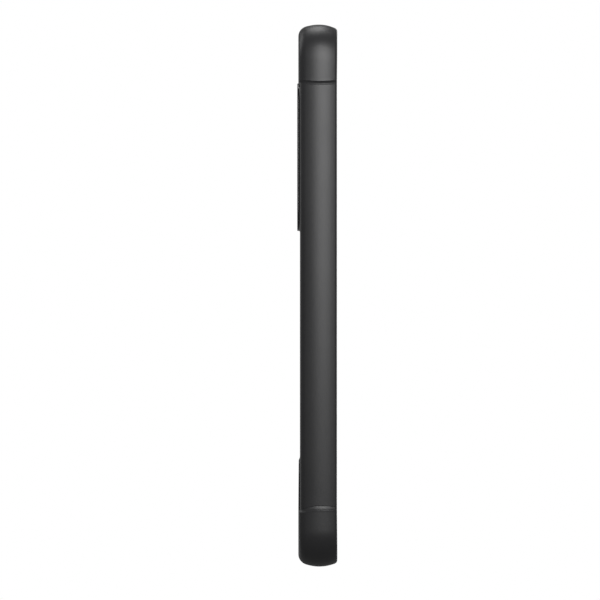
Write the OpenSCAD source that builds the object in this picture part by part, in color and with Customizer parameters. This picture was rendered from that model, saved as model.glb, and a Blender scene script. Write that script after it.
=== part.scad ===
// Two-layer protective case for a slim phone.
// A soft inner sleeve holds the phone. A hard outer shell wraps the middle of it, and a thick soft
// bumper covers each end. X is the width, -Y is the screen side, +Y is the back, +Z is up.
// The origin is at the bottom centre of the case's bounding box.

/* [Phone] */
// Width of the pocket, side to side
pocket_w = 75.8; // [70:0.1:80]
// Length of the pocket, end to end
pocket_l = 163.6; // [158:0.1:170]
// Depth from the lip's underside to the lining
pocket_t = 8.75; // [8:0.05:10]
// Radius of the pocket's corners, seen from the front
pocket_r = 8.8; // [7.5:0.1:11]

/* [Walls] */
// Wall of the soft sleeve
sleeve_wall = 1.1; // [0.9:0.1:1.4]
// Side wall of the hard shell
shell_wall = 1.1; // [0.9:0.1:1.4]
// How far the bumpers stand proud of the shell's sides
bumper_step = 0.5; // [0.3:0.1:0.8]
// Height of the screen lip above the glass, beside the shell
lip_h = 1.1; // [0.9:0.1:1.4]
// How far the lip reaches over the screen's edge
lip_reach = 1.8; // [1.2:0.1:2.4]
// Floor of the soft sleeve
floor_t = 0.6; // [0.5:0.1:0.8]
// Back of the hard shell
back_t = 0.8; // [0.7:0.1:1.0]
// Soft lining on the floor
lining_t = 0.25; // [0.2:0.05:0.4]

/* [Bumpers] */
// Length of the top bumper at mid-thickness
top_bumper_l = 18.0; // [16:0.5:20]
// Length of the bottom bumper at mid-thickness
bottom_bumper_l = 18.8; // [16:0.5:20]
// Radius of the bowed edge where a bumper meets the shell
bow_r = 27.5; // [20:0.5:60]

/* [Back] */
// Width of the camera ring
ring_w = 25; // [20:1:30]
// Height of the camera ring
ring_h = 46; // [40:1:46]
// How far the camera ring stands above the shell's back
ring_rise = 0.85; // [0.6:0.05:1.2]
// Width of the rim around the camera opening
ring_rim = 2.8; // [2:0.1:3.5]
// Width of the grip inlay and of the heel pad
panel_w = 64; // [56:1:68]
// Height at which the heel pad's top edge starts
heel_top = 33.4; // [30:0.2:36]

/* [Keys] */
// Height of the power key's centre
power_z = 97; // [90:1:101]
// Height of the volume-down key's centre
volume_down_z = 115; // [111:1:115]
// Height of the volume-up key's centre
volume_up_z = 129; // [129:1:134]
// Length of the power key
power_l = 12; // [10:0.5:13]
// Length of each volume key
volume_l = 11; // [9:0.5:11.5]
// Height of a key's cap across the case
key_h = 3.2; // [2.6:0.1:3.4]
// How far a key travels when it is pressed
key_travel = 0.25; // [0.2:0.05:0.25]

/* [Hidden] */
$fn = 64;

over = 2;            // how far a cutter runs past what it cuts
seam = 0.02;         // gap between nested layers
crown_in = 4;        // the side's crown is centred this far inside the corner centres
inner_blend = 1.6;   // blend between the sleeve's wall and floor
outer_blend = 2.6;   // blend between a bumper's side and its back
shell_blend = 2.2;   // blend between the shell's side and its back
pocket_front_r = 0.4;
sleeve_front_r = 0.3;
shell_front_r = 0.5;
bumper_front_r = 0.7;

// Radii of the nested layers, measured from the corner centres
pocket_o = pocket_r;
sleeve_o = pocket_o + sleeve_wall;
shell_o = sleeve_o + shell_wall;
bumper_o = shell_o + bumper_step;
corner_x = pocket_w / 2 - pocket_o;
case_l = pocket_l + 2 * (bumper_o - pocket_o);
corner_z = bumper_o;

// Levels through the thickness, from the back plane of the camera ring to the front lip
bumper_rise = 0.5;   // how far the bumpers stand above the shell's back
front_rise = 0.15;   // how far each layer's lip stands in front of the next one's
shell_depth = lip_h + pocket_t + lining_t + floor_t + back_t;
case_t = shell_depth + ring_rise + front_rise;
back_ring = case_t / 2;
back_shell = back_ring - ring_rise;
back_bumper = back_shell + bumper_rise;
front_bumper = -case_t / 2;
front_shell = front_bumper + front_rise;
back_sleeve = back_shell - back_t;
back_pocket = back_sleeve - floor_t;
seat_y = back_pocket - lining_t;
front_sleeve = front_shell + front_rise;
lip_under = front_shell + lip_h;
mid_y = (lip_under + seat_y) / 2;   // mid-thickness of the phone, and centre of the crown

// Parts of the back
ring_r = 6.5;
ring_z = case_l - top_bumper_l - ring_h / 2;
panel_depth = 0.45;  // depth of the inlay's bed in the shell
tape_t = 0.1;
inlay_drop = 0.05;   // how far the inlay lies below the shell's back
inlay_r = 4;
ring_margin = 3;     // strip of shell between the ring and the inlay
panel_margin = 4;    // strip of shell beyond the inlay's ends
inlay_bottom = heel_top + panel_margin;
inlay_top = case_l - top_bumper_l - panel_margin;
tape_in = 0.6;
sleeve_clear = 0.5;  // how far the sleeve's camera window clears the ring's bore
lining_clear = 1;
lining_in = 3;
heel_bed = 0.3;      // depth of the heel pad's bed in the shell
heel_bottom = bottom_bumper_l - 0.4;
heel_low = 0.1;      // the pad's upper end lies this far below the bumper's back
heel_slope = 1.6;    // height of the slope at the pad's upper end
heel_r = 5;

// Openings in the ends
port_w = 13;
port_h = 6.4;
speaker_w = 15;
speaker_h = 3.2;
speaker_x = 20.5;
mic_r = 1.2;
mic_x = 13.5;

// Keys
key_gap = 0.12;      // running gap round a key's cap
flange_over = 0.7;   // how far a key's flange reaches past its cap
flange_t = 0.28;
flange_sink = 0.25;  // the shell is crowned, so a flat flange lies this far inside it
bed_gap = 0.3;       // gap round a key's flange
stem_less_l = 2;     // how much shorter and lower a key's stem is than its cap
stem_less_h = 0.8;
// Web of the sleeve that stops a pressed key
ledge_t = sleeve_wall - flange_sink - flange_t - key_travel - seam;
flange_out = corner_x + sleeve_o - flange_sink;
key_face = corner_x + bumper_o;

// Points of an arc, without its first point
function arc(cx, cy, r, from, to, n) =
    [for (i = [1:n]) let (a = from + (to - from) * i / n) [cx + r * cos(a), cy + r * sin(a)]];

// Half section of a layer: x runs out from the corner centre, y from front to back.
// A long crown joins a small front fillet to a larger back one.
function section(o, front, back, front_r, back_r) =
    let (crown_r = o + crown_in,
         a = asin((front + front_r - mid_y) / (crown_r - front_r)),
         b = asin((back - back_r - mid_y) / (crown_r - back_r)),
         ax = -crown_in + (crown_r - front_r) * cos(a),
         bx = -crown_in + (crown_r - back_r) * cos(b))
    concat([[0, front], [ax, front]],
           arc(ax, front + front_r, front_r, -90, a, 4),
           arc(-crown_in, mid_y, crown_r, a, b, 12),
           arc(bx, back - back_r, back_r, b, 90, 7),
           [[0, back]]);

function pocket_section() = section(pocket_o, lip_under, back_pocket, pocket_front_r, inner_blend);
function sleeve_section() = section(sleeve_o, front_sleeve, back_sleeve, sleeve_front_r, inner_blend);
function shell_section() = section(shell_o, front_shell, back_shell, shell_front_r, shell_blend);
function bumper_section() = section(bumper_o, front_bumper, back_bumper, bumper_front_r, outer_blend);
// Room for the sleeve inside the shell and the bumpers, open through their front
function sleeve_room() =
    section(sleeve_o + seam, front_bumper - over, back_sleeve + seam, sleeve_front_r,
            inner_blend + seam);

module at_top() translate([0, 0, case_l]) mirror([0, 0, 1]) children();
module both_sides() { children(); mirror([1, 0, 0]) children(); }

// Lower end of a layer, up to height reach, with two rounded corners
module end_body(points, reach) {
    front = points[0][1];
    back = points[len(points) - 1][1];
    both_sides() {
        translate([corner_x, 0, corner_z]) rotate([-90, 0, 0])
            rotate_extrude(angle = 90) polygon(points);
        translate([corner_x, 0, corner_z]) linear_extrude(reach - corner_z) polygon(points);
    }
    translate([-corner_x, 0, corner_z]) rotate([0, 90, 0])
        linear_extrude(2 * corner_x) polygon(points);
    translate([-corner_x, front, corner_z])
        cube([2 * corner_x, back - front, reach - corner_z]);
}

module full_body(points) {
    end_body(points, case_l / 2);
    at_top() end_body(points, case_l / 2);
}

// Cutter whose round side makes the bowed edge of the bottom bumper, end_l above the bottom
module bow(end_l, r) {
    translate([0, mid_y, end_l - bow_r]) rotate([0, 90, 0])
        cylinder(r = r, h = case_l, center = true, $fn = 96);
}

// Plate with rounded corners that faces +Y
module plate(w, h, r, from, to, z) {
    translate([0, to, z]) rotate([90, 0, 0]) linear_extrude(to - from) {
        square([w - 2 * r, h], center = true);
        square([w, h - 2 * r], center = true);
        for (sx = [-1, 1], sz = [-1, 1])
            translate([sx * (w / 2 - r), sz * (h / 2 - r)]) circle(r);
    }
}

// Bar with round ends: l along Z, h along Y, from x = from to x = to
module key_bar(l, h, from, to, z) {
    translate([from, mid_y, z]) rotate([0, 90, 0]) linear_extrude(to - from) {
        square([l - h, h], center = true);
        for (s = [-1, 1]) translate([s * (l - h) / 2, 0]) circle(h / 2);
    }
}

// Hole with round ends through the bottom wall: w along X, h along Y
module end_slot(w, h, x) {
    translate([x, mid_y, -over]) linear_extrude(corner_z) {
        square([w - h, h], center = true);
        for (s = [-1, 1]) translate([s * (w - h) / 2, 0]) circle(h / 2);
    }
}

module bottom_ports() {
    end_slot(port_w, port_h, 0);
    end_slot(speaker_w, speaker_h, speaker_x);
    translate([-mic_x, mid_y, -over]) cylinder(r = mic_r, h = corner_z);
}

module top_ports() translate([mic_x, mid_y, -over]) cylinder(r = mic_r, h = corner_z);

// Windows of the three keys in the sleeve: a bed for the flange and a hole for the stem
module sleeve_key_window(l, z) {
    key_bar(l + 2 * (flange_over + bed_gap), key_h + 2 * (flange_over + bed_gap),
            corner_x + pocket_o + ledge_t, corner_x + sleeve_o + over, z);
    key_bar(l - stem_less_l + 2 * key_gap, key_h - stem_less_h + 2 * key_gap,
            corner_x, corner_x + sleeve_o, z);
}

module inner_sleeve() color("#232325") difference() {
    full_body(sleeve_section());
    full_body(pocket_section());
    plate(2 * (corner_x + pocket_o - lip_reach), pocket_l - 2 * lip_reach, pocket_o - lip_reach,
          front_sleeve - over, lip_under + pocket_front_r, case_l / 2);
    plate(ring_w - 2 * (ring_rim - sleeve_clear), ring_h - 2 * (ring_rim - sleeve_clear),
          ring_r - ring_rim + sleeve_clear,
          back_pocket - over, back_sleeve + over, ring_z);
    bottom_ports();
    at_top() top_ports();
    sleeve_key_window(power_l, power_z);
    sleeve_key_window(volume_l, volume_up_z);
    sleeve_key_window(volume_l, volume_down_z);
}

module microfibre_lining() color("#3a3b3e") difference() {
    plate(pocket_w - 2 * lining_in, pocket_l - 2 * lining_in, pocket_r - lining_in,
          seat_y, back_pocket, case_l / 2);
    plate(ring_w - 2 * (ring_rim - lining_clear), ring_h - 2 * (ring_rim - lining_clear),
          ring_r - ring_rim + lining_clear,
          seat_y - over, back_pocket + over, ring_z);
}

// Outline of the inlay: a panel with rounded corners, open at the top round the camera ring
module inlay_shape(inset, from, to) {
    notch_w = ring_w + 2 * (ring_margin + inset);
    notch_bottom = ring_z - ring_h / 2 - ring_margin - inset;
    difference() {
        plate(panel_w - 2 * inset, inlay_top - inlay_bottom - 2 * inset, inlay_r - inset,
              from, to, (inlay_top + inlay_bottom) / 2);
        plate(notch_w, 2 * (inlay_top - notch_bottom), ring_r + ring_margin,
              from - over, to + over, inlay_top);
    }
}

// Whole section of a layer across the case, at a height between the corners
function channel(points) =
    let (last = len(points) - 1)
    concat([for (i = [0:last]) [corner_x + points[i][0], points[i][1]]],
           [for (i = [0:last]) [-corner_x - points[last - i][0], points[last - i][1]]]);

module outer_shell() color("#2b2b2d") difference() {
    translate([0, 0, bottom_bumper_l / 2])
        linear_extrude(case_l - (bottom_bumper_l + top_bumper_l) / 2) difference() {
            polygon(channel(shell_section()));
            polygon(channel(sleeve_room()));
        }
    bow(bottom_bumper_l, bow_r);
    at_top() bow(top_bumper_l, bow_r);
    plate(ring_w + 2 * seam, ring_h + 2 * seam, ring_r, back_sleeve - over, back_shell + over, ring_z);
    inlay_shape(0, back_shell - panel_depth, back_shell + over);
    heel_shape(0, back_shell - heel_bed, back_shell + over);
    key_bar(power_l + 2 * key_gap, key_h + 2 * key_gap, corner_x, key_face + over, power_z);
    key_bar(volume_l + 2 * key_gap, key_h + 2 * key_gap, corner_x, key_face + over, volume_up_z);
    key_bar(volume_l + 2 * key_gap, key_h + 2 * key_gap, corner_x, key_face + over, volume_down_z);
}

// Air pocket behind each corner that lets the bumper give
module air_pockets() {
    air_d = 0.7;
    air_h = 5;
    air_span = 60;
    both_sides() translate([corner_x, 0, corner_z]) rotate([-90, 0, 0])
        rotate([0, 0, (90 - air_span) / 2]) rotate_extrude(angle = air_span)
            translate([sleeve_o - air_d, mid_y - air_h / 2]) square([2 * air_d, air_h]);
}

module bumper(end_l) difference() {
    intersection() {
        end_body(bumper_section(), 2 * bottom_bumper_l);
        bow(end_l, bow_r - seam);
    }
    end_body(sleeve_room(), 3 * bottom_bumper_l);
    air_pockets();
}

module top_bumper() color("#29292b") at_top() difference() {
    bumper(top_bumper_l);
    top_ports();
}

module bottom_bumper() color("#29292b") difference() {
    bumper(bottom_bumper_l);
    bottom_ports();
}

module camera_ring() color("#1b1b1d") difference() {
    plate(ring_w, ring_h, ring_r, back_sleeve + seam, back_ring, ring_z);
    plate(ring_w - 2 * ring_rim, ring_h - 2 * ring_rim, ring_r - ring_rim,
          back_sleeve - over, back_ring + over, ring_z);
}

module inlay_tape() color("#8a8a85")
    inlay_shape(tape_in, back_shell - panel_depth + seam / 2, back_shell - panel_depth + tape_t);

module back_inlay() color("#303033")
    inlay_shape(seam, back_shell - panel_depth + tape_t, back_shell - inlay_drop);

// Outline of the heel pad: rounded at the top, square at the bottom
module heel_shape(inset, from, to) intersection() {
    plate(panel_w - 2 * inset, 2 * (heel_top - heel_bottom - inset), heel_r - inset,
          from, to, heel_bottom);
    translate([-panel_w, from - over, heel_bottom + inset])
        cube([2 * panel_w, to - from + 2 * over, heel_top]);
}

// The pad's face is a shallow wedge that starts with a slope at its top edge
module heel_pad() color("#262628") intersection() {
    heel_shape(seam, back_shell - heel_bed + seam, back_ring);
    translate([-panel_w, 0, 0]) rotate([90, 0, 90]) linear_extrude(2 * panel_w)
        polygon([[0, 0], [back_bumper, 0], [back_bumper, heel_bottom],
                 [back_bumper - heel_low, heel_top - heel_slope], [back_shell, heel_top], [0, heel_top]]);
}

module key(l, z) {
    key_bar(l - stem_less_l, key_h - stem_less_h, corner_x + pocket_o, flange_out - flange_t / 2, z);
    key_bar(l + 2 * flange_over, key_h + 2 * flange_over, flange_out - flange_t, flange_out, z);
    key_bar(l, key_h, flange_out - flange_t / 2, key_face, z);
}

module power_key() color("#2e2e30") key(power_l, power_z);
module volume_up_key() color("#2e2e30") key(volume_l, volume_up_z);
module volume_down_key() color("#2e2e30") key(volume_l, volume_down_z);

inner_sleeve();
microfibre_lining();
outer_shell();
top_bumper();
bottom_bumper();
camera_ring();
inlay_tape();
back_inlay();
heel_pad();
power_key();
volume_up_key();
volume_down_key();
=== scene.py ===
"""Looks of a protective phone case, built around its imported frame.

X is the width, -Y is the screen side, +Y is the back and +Z is up. Lengths in this file are in
millimetres, and a mesh is turned into metres when it is made.
"""

import logging
import math
from collections.abc import Callable, Sequence
from dataclasses import dataclass
from enum import Enum

import bmesh
import bpy
import numpy as np
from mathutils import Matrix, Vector


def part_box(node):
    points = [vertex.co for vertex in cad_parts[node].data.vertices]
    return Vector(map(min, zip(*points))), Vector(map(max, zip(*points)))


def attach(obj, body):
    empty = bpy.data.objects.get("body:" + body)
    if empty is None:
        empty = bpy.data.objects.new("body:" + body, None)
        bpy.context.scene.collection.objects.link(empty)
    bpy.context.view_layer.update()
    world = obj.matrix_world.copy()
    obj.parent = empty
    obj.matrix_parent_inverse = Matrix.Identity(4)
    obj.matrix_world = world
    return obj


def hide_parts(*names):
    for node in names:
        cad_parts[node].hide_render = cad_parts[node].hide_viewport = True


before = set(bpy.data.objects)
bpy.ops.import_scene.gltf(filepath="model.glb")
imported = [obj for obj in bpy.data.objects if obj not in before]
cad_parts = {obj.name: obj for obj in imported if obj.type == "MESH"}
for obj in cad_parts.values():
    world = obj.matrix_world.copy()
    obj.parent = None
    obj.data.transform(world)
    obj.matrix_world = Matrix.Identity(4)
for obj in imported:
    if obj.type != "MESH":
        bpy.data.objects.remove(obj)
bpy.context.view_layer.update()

Array = np.ndarray
Outline = Callable[[float], Array]
MM = 0.001
MERGE = 1e-6
log = logging.getLogger("case")


# ---------------------------------------------------------------- mesh tools


def ease(value: Array, start: float, end: float) -> Array:
    """Smooth rise from 0 at the start to 1 at the end: 3 t squared less 2 t cubed."""
    t = np.clip((value - start) / (end - start), 0, 1)
    return t * t * (3 - 2 * t)


def ramp(value: Array, start: float, end: float) -> Array:
    """Straight rise from 0 at the start to 1 at the end."""
    return np.clip((value - start) / (end - start), 0, 1)


def arc(cx: float, cy: float, r: float, start: float, end: float, steps: int) -> Array:
    """Points on a circle's arc, both ends included."""
    a = np.linspace(start, end, steps + 1)
    return np.stack([cx + r * np.cos(a), cy + r * np.sin(a)], 1)


class Plane(Enum):
    """Where a flat outline lies: the places of its first axis, second axis and height in X, Y, Z."""

    BACK = (0, 2, 1)
    SIDE = (1, 0, 2)
    END = (0, 1, 2)

    def place(self, a: Array, b: Array, height: Array) -> Array:
        """Puts outline coordinates and a height into X, Y, Z.

        Args:
            a: First coordinate of the outline.
            b: Second coordinate of the outline.
            height: Distance along the plane's normal.

        Returns:
            Points, with the last axis holding X, Y, Z.
        """
        a, b, height = np.broadcast_arrays(a, b, height)
        if self is Plane.BACK:
            return np.stack([a, height, b], -1)
        if self is Plane.SIDE:
            return np.stack([height, b, a], -1)
        return np.stack([a, b, height], -1)


class Solid:
    """Collects the grids and loops of one piece, and turns them into one closed mesh."""

    def __init__(self) -> None:
        """Starts with no points and no faces."""
        self.points: list[Array] = []
        self.faces: list[list[int]] = []
        self.count = 0

    def grid(self, points: Array, wrap: bool = False) -> "Solid":
        """Adds a grid of quads.

        Args:
            points: Array of rows x columns x 3, in millimetres.
            wrap: True if the last row joins the first one.

        Returns:
            This solid.
        """
        rows, cols = points.shape[:2]
        i, j = np.meshgrid(np.arange(rows if wrap else rows - 1), np.arange(cols - 1), indexing="ij")
        a = i * cols + j
        b = (i + 1) % rows * cols + j
        quads = np.stack([a, b, b + 1, a + 1], -1).reshape(-1, 4) + self.count
        self.faces += quads.tolist()
        self.points.append(points.reshape(-1, 3))
        self.count += rows * cols
        return self

    def skirt(self, face: Array, back: Array) -> "Solid":
        """Joins two grids of one size round their four edges."""
        for edge in (np.s_[0, :], np.s_[-1, :], np.s_[:, 0], np.s_[:, -1]):
            self.grid(np.stack([face[edge], back[edge]]))
        return self

    def cap(self, loop: Array) -> "Solid":
        """Adds one flat face on a closed loop of points."""
        self.faces.append(list(range(self.count, self.count + len(loop))))
        self.points.append(loop)
        self.count += len(loop)
        return self

    def build(self, name: str) -> bpy.types.Object:
        """Makes the object: merges doubles and turns the faces outwards.

        Args:
            name: Name of the piece.

        Returns:
            The object, at the origin.
        """
        mesh = bpy.data.meshes.new(name)
        mesh.from_pydata((np.concatenate(self.points) * MM).tolist(), [], self.faces)
        work = bmesh.new()
        work.from_mesh(mesh)
        bmesh.ops.remove_doubles(work, verts=work.verts, dist=MERGE)
        bmesh.ops.dissolve_degenerate(work, edges=work.edges, dist=MERGE)
        bmesh.ops.recalc_face_normals(work, faces=work.faces)
        work.to_mesh(mesh)
        work.free()
        piece = bpy.data.objects.new(name, mesh)
        bpy.context.scene.collection.objects.link(piece)
        return piece


def rounded(corners: Sequence[tuple[float, float, float]], inset: float = 0.0, steps: int = 10) -> Array:
    """Closed outline with rounded corners, given anticlockwise.

    Each corner moves along the mitre of its two sides by the inset. An arc that is tangent to both
    sides then replaces it. The arc's radius shrinks with the inset at an outer corner and grows with
    it at an inner one.

    Args:
        corners: (first coordinate, second coordinate, radius) of each corner.
        inset: How far the outline lies inside the given one.
        steps: Steps on each arc.

    Returns:
        Array of points x 2.
    """
    data = np.array(corners, float)
    at, radius = data[:, :2], data[:, 2]
    ahead = np.roll(at, -1, 0) - at
    ahead /= np.linalg.norm(ahead, axis=1)[:, None]
    behind = np.roll(ahead, 1, 0)
    turn = behind[:, 0] * ahead[:, 1] - behind[:, 1] * ahead[:, 0]
    angle = np.arctan2(turn, (behind * ahead).sum(1))
    left_a = np.stack([-ahead[:, 1], ahead[:, 0]], 1)
    left_b = np.stack([-behind[:, 1], behind[:, 0]], 1)
    at = at + (left_a + left_b) * (inset / (1 + (left_a * left_b).sum(1)))[:, None]
    radius = np.maximum(radius - np.sign(angle) * inset, 1e-3)
    start = at - behind * (radius * np.tan(np.abs(angle) / 2))[:, None]
    centre = start + left_b * (np.sign(angle) * radius)[:, None]
    arm = start - centre
    way = np.linspace(0, 1, steps + 1)[None, :] * angle[:, None]
    x = centre[:, :1] + arm[:, :1] * np.cos(way) - arm[:, 1:] * np.sin(way)
    y = centre[:, 1:] + arm[:, :1] * np.sin(way) + arm[:, 1:] * np.cos(way)
    return np.stack([x, y], -1).reshape(-1, 2)


def box_corners(w: float, h: float, r: float, cx: float = 0.0, cy: float = 0.0) -> list:
    """Corners of a rounded rectangle w by h about (cx, cy), anticlockwise."""
    a, b = w / 2, h / 2
    return [(cx + a, cy - b, r), (cx + a, cy + b, r), (cx - a, cy + b, r), (cx - a, cy - b, r)]


def loft(name: str, outline: Outline, levels: Array, plane: Plane,
         bend: Callable[[Array], Array] | None = None) -> bpy.types.Object:
    """Closed solid through a stack of outlines.

    Args:
        name: Name of the piece.
        outline: Gives the outline at an inset, always with as many points.
        levels: Rows of (inset, height), from one end to the other.
        plane: Where the outlines lie.
        bend: Optional height to add at a value of the outline's second coordinate.

    Returns:
        The solid.
    """
    loops = []
    for inset, height in levels:
        flat = outline(inset)
        lift = height if bend is None else height + bend(flat[:, 1])
        loops.append(plane.place(flat[:, 0], flat[:, 1], lift))
    solid = Solid().grid(np.stack(loops, 1), wrap=True)
    return solid.cap(loops[0]).cap(loops[-1][::-1]).build(name)


def prism(name: str, outline: Outline, low: float, high: float, plane: Plane) -> bpy.types.Object:
    """Straight solid on an outline, from one height to another."""
    return loft(name, outline, np.array([[0.0, low], [0.0, high]]), plane)


def combine(piece: bpy.types.Object, others: Sequence[bpy.types.Object],
            operation: str = "DIFFERENCE") -> bpy.types.Object:
    """Cuts the other solids out of a piece, or keeps what it shares with them, and removes them.

    Args:
        piece: The piece to change.
        others: Closed solids.
        operation: DIFFERENCE, INTERSECT or UNION.

    Returns:
        The piece.
    """
    for other in others:
        step = piece.modifiers.new("cut", "BOOLEAN")
        step.operation = operation
        step.solver = "EXACT"
        step.object = other
        bpy.context.view_layer.update()
        graph = bpy.context.evaluated_depsgraph_get()
        made = bpy.data.meshes.new_from_object(piece.evaluated_get(graph))
        piece.modifiers.clear()
        piece.data = made
        bpy.data.objects.remove(other)
    work = bmesh.new()
    work.from_mesh(piece.data)
    bmesh.ops.remove_doubles(work, verts=work.verts, dist=MERGE)
    bmesh.ops.dissolve_degenerate(work, edges=work.edges, dist=MERGE)
    work.to_mesh(piece.data)
    work.free()
    return piece


def topped_plate(name: str, outline: Outline, base: float, top: Callable[[Array, Array], Array],
                 step: float) -> bpy.types.Object:
    """Plate whose face is a height over a grid, trimmed to an outline.

    Args:
        name: Name of the piece.
        outline: The plate's outline in X and Z.
        base: Y of its flat side.
        top: Gives Y of its shaped side at X and Z.
        step: Spacing of the grid.

    Returns:
        The plate.
    """
    flat = outline(0.0)
    low, high = flat.min(0) - step, flat.max(0) + step
    x = np.linspace(low[0], high[0], int((high[0] - low[0]) / step) + 1)
    z = np.linspace(low[1], high[1], int((high[1] - low[1]) / step) + 1)
    gx, gz = np.meshgrid(x, z, indexing="ij")
    face = np.stack([gx, top(gx, gz), gz], -1)
    back = face.copy()
    back[..., 1] = base
    solid = Solid().grid(face).grid(back).skirt(face, back)
    reach = 2.0
    ends = np.array([base, float(face[..., 1].mean())])
    cutter = prism("trim", outline, ends.min() - reach, ends.max() + reach, Plane.BACK)
    return combine(solid.build(name), [cutter], "INTERSECT")


def edge_field(mesh: bpy.types.Mesh, gentle: float = 2.5, sharp: float = 0.4) -> None:
    """Writes how sharply each point bulges to the attribute "edge".

    Along each mesh edge, curvature is the angle between its two faces over the distance between
    their centres, counted only where the faces bend outwards. A point takes the largest of its
    edges, and the field rises smoothly from 0 at the gentle radius to 1 at the sharp one.

    Args:
        mesh: The finished mesh.
        gentle: Radius above which nothing counts as an edge.
        sharp: Radius below which everything does.
    """
    least = 0.05
    faces, loops = len(mesh.polygons), len(mesh.loops)
    normal, centre = np.empty(faces * 3), np.empty(faces * 3)
    mesh.polygons.foreach_get("normal", normal)
    mesh.polygons.foreach_get("center", centre)
    normal, centre = normal.reshape(-1, 3), centre.reshape(-1, 3)
    total, edge_of = np.empty(faces, np.int32), np.empty(loops, np.int32)
    mesh.polygons.foreach_get("loop_total", total)
    mesh.loops.foreach_get("edge_index", edge_of)
    ends = np.empty(len(mesh.edges) * 2, np.int32)
    mesh.edges.foreach_get("vertices", ends)
    ends = ends.reshape(-1, 2)
    face_of = np.repeat(np.arange(faces), total)
    order = np.argsort(edge_of, kind="stable")
    sorted_edges = edge_of[order]
    first = np.flatnonzero(sorted_edges[1:] == sorted_edges[:-1])
    one, two = face_of[order[first]], face_of[order[first + 1]]
    edge = sorted_edges[first]
    between = centre[two] - centre[one]
    angle = np.arccos(np.clip((normal[one] * normal[two]).sum(1), -1, 1))
    bulges = (between * normal[one]).sum(1) < 0
    curve = np.where(bulges, angle / (np.linalg.norm(between, axis=1) / MM + least), 0)
    value = np.zeros(len(mesh.vertices))
    np.maximum.at(value, ends[edge, 0], curve)
    np.maximum.at(value, ends[edge, 1], curve)
    field = mesh.attributes.new("edge", "FLOAT", "POINT")
    field.data.foreach_set("value", ease(value, 1 / gentle, 1 / sharp).astype(np.float32))


# ---------------------------------------------------------------- shader tools


class Node:
    """A socket of a shader tree, with arithmetic that adds Math nodes."""

    def __init__(self, tree: bpy.types.NodeTree, socket: bpy.types.NodeSocket) -> None:
        """Wraps an output socket of a tree."""
        self.tree = tree
        self.socket = socket

    def _math(self, operation: str, a: "Node | float", b: "Node | float", clamp: bool = False) -> "Node":
        """One Math node on two values."""
        return add(self.tree, "ShaderNodeMath", {"operation": operation, "use_clamp": clamp}, {0: a, 1: b})

    def __add__(self, other: "Node | float") -> "Node":
        """Sum."""
        return self._math("ADD", self, other)

    def __mul__(self, other: "Node | float") -> "Node":
        """Product."""
        return self._math("MULTIPLY", self, other)

    def __sub__(self, other: "Node | float") -> "Node":
        """Difference."""
        return self._math("SUBTRACT", self, other)

    def clamp(self) -> "Node":
        """Value held between 0 and 1."""
        return self._math("ADD", self, 0.0, clamp=True)


def add(tree: bpy.types.NodeTree, kind: str, settings: dict | None = None, inputs: dict | None = None,
        output: str | int = 0) -> Node:
    """Adds any node.

    Args:
        tree: The tree it goes into.
        kind: Type of the node.
        settings: Its settings, which are made first.
        inputs: Values or links of its sockets, by name or number.
        output: The output to hand back.

    Returns:
        That output.
    """
    node = tree.nodes.new(kind)
    for key, value in (settings or {}).items():
        setattr(node, key, value)
    for key, value in (inputs or {}).items():
        if isinstance(value, Node):
            tree.links.new(value.socket, node.inputs[key])
        else:
            node.inputs[key].default_value = value
    return Node(tree, node.outputs[output])


def mix(tree: bpy.types.NodeTree, factor: Node, a: tuple, b: tuple) -> Node:
    """Colour between two fixed ones, through a Mix node."""
    factor_in, a_in, b_in, colour_out = 0, 6, 7, 2
    node = tree.nodes.new("ShaderNodeMix")
    node.data_type = "RGBA"
    tree.links.new(factor.socket, node.inputs[factor_in])
    node.inputs[a_in].default_value = (*a, 1.0)
    node.inputs[b_in].default_value = (*b, 1.0)
    return Node(tree, node.outputs[colour_out])


class Grain(Enum):
    """What the small relief of a surface looks like."""

    MOULDED = "moulded"
    SOFT = "soft"
    CLOTH = "cloth"
    POLISHED = "polished"


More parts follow.
